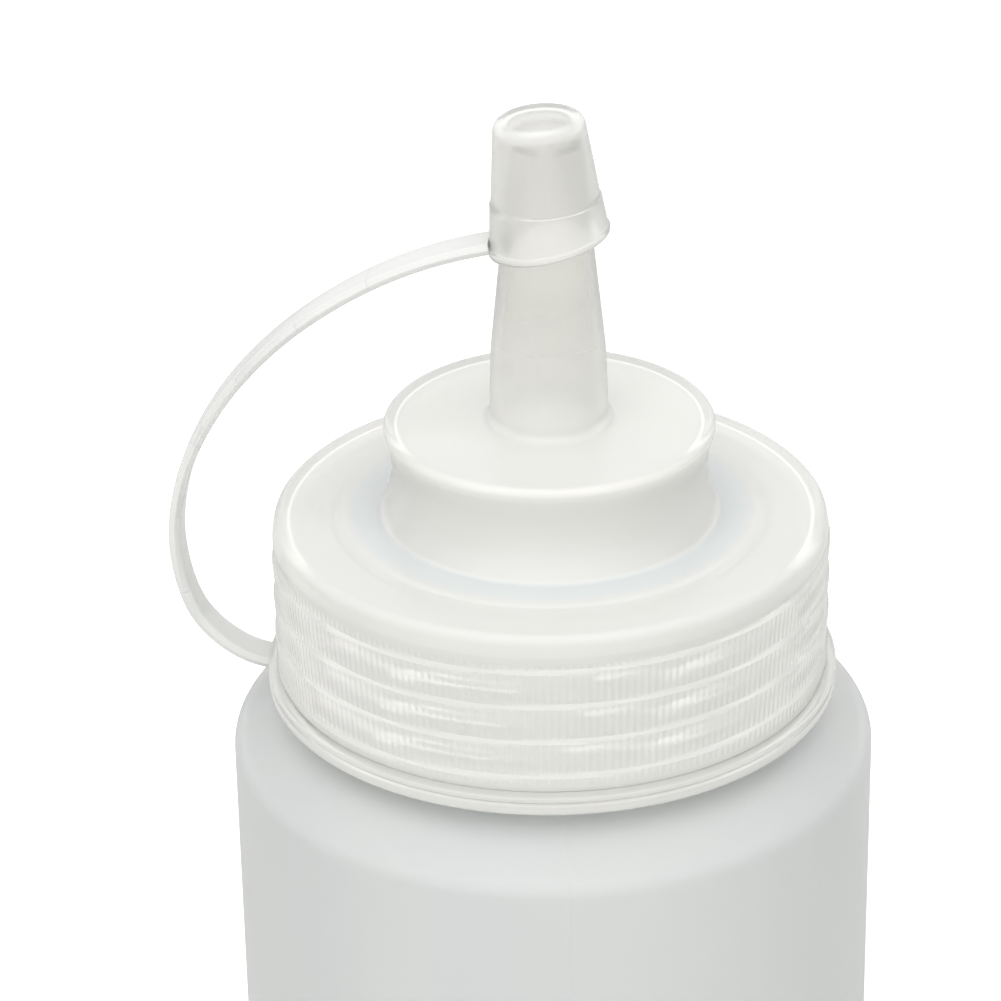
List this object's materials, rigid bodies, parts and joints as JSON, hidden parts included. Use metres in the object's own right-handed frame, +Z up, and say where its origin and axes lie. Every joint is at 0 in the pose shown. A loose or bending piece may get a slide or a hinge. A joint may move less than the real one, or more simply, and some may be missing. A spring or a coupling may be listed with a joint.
{
  "type": "condiment squeeze bottle",
  "caption": "Translucent squeeze bottle with a wide screw lid, a tapered nozzle and a tip cap held by a strap.",
  "frame": {"origin": "middle of the base, on the surface that the bottle stands on", "axes": "+Z up along the bottle's axis to the nozzle, -X towards the strap"},
  "size_m": [0.0866, 0.0794, 0.2271],
  "materials": {
    "bottle_plastic": "satin natural low density polyethylene, milky and translucent",
    "lid_plastic": "satin natural low density polyethylene, milky and translucent",
    "tether_plastic": "satin natural low density polyethylene, milky and translucent"
  },
  "bodies": {
    "bottle": {"bottle": "bottle_plastic"},
    "tether_ring": {"tether_ring": "tether_plastic"},
    "screw_lid": {"screw_lid": "lid_plastic"},
    "tether_strap_1": {"tether_strap_1": "tether_plastic"},
    "tether_strap_2": {"tether_strap_2": "tether_plastic"},
    "tether_strap_3": {"tether_strap_3": "tether_plastic"},
    "tether_strap_4": {"tether_strap_4": "tether_plastic"},
    "tether_strap_5": {"tether_strap_5": "tether_plastic"},
    "tether_strap_6": {"tether_strap_6": "tether_plastic"},
    "tip_cap": {"tip_cap": "tether_plastic"}
  },
  "joints": [
    {"name": "lid_rise", "type": "slide", "parent": "bottle", "child": "tether_ring", "axis": [0, 0, 1], "range_m": [0, 0.02325]},
    {"name": "lid_turn", "type": "hinge", "parent": "tether_ring", "child": "screw_lid", "pos_m": [0, 0, 0.165], "axis": [0, 0, 1], "range_deg": [0, 1800]},
    {"name": "strap_bend_1", "type": "hinge", "parent": "tether_ring", "child": "tether_strap_1", "pos_m": [-0.04313, 0, 0.15901], "axis": [0, 1, 0], "range_deg": [0, 36.2]},
    {"name": "strap_bend_2", "type": "hinge", "parent": "tether_strap_1", "child": "tether_strap_2", "pos_m": [-0.04614, 0, 0.16884], "axis": [0, 1, 0], "range_deg": [-8.6, 0]},
    {"name": "strap_bend_3", "type": "hinge", "parent": "tether_strap_2", "child": "tether_strap_3", "pos_m": [-0.04483, 0, 0.17908], "axis": [0, 1, 0], "range_deg": [-11.3, 0]},
    {"name": "strap_bend_4", "type": "hinge", "parent": "tether_strap_3", "child": "tether_strap_4", "pos_m": [-0.04037, 0, 0.18841], "axis": [0, 1, 0], "range_deg": [-21.3, 0]},
    {"name": "strap_bend_5", "type": "hinge", "parent": "tether_strap_4", "child": "tether_strap_5", "pos_m": [-0.03377, 0, 0.19639], "axis": [0, 1, 0], "range_deg": [-26, 0]},
    {"name": "strap_bend_6", "type": "hinge", "parent": "tether_strap_5", "child": "tether_strap_6", "pos_m": [-0.02567, 0, 0.20285], "axis": [0, 1, 0], "range_deg": [-25.2, 0]},
    {"name": "cap_hinge", "type": "hinge", "parent": "tether_strap_6", "child": "tip_cap", "pos_m": [-0.0165, 0, 0.20769], "axis": [0, 1, 0], "range_deg": [0, 14.6]}
  ],
  "couplings": [
    {"joint": "lid_rise", "follows": "lid_turn", "m_per_rad": 0.00074},
    {"joint": "strap_bend_2", "follows": "strap_bend_1", "ratio": -0.2375},
    {"joint": "strap_bend_3", "follows": "strap_bend_1", "ratio": -0.311},
    {"joint": "strap_bend_4", "follows": "strap_bend_1", "ratio": -0.588},
    {"joint": "strap_bend_5", "follows": "strap_bend_1", "ratio": -0.716},
    {"joint": "strap_bend_6", "follows": "strap_bend_1", "ratio": -0.696},
    {"joint": "cap_hinge", "follows": "strap_bend_1", "ratio": 0.401}
  ]
}
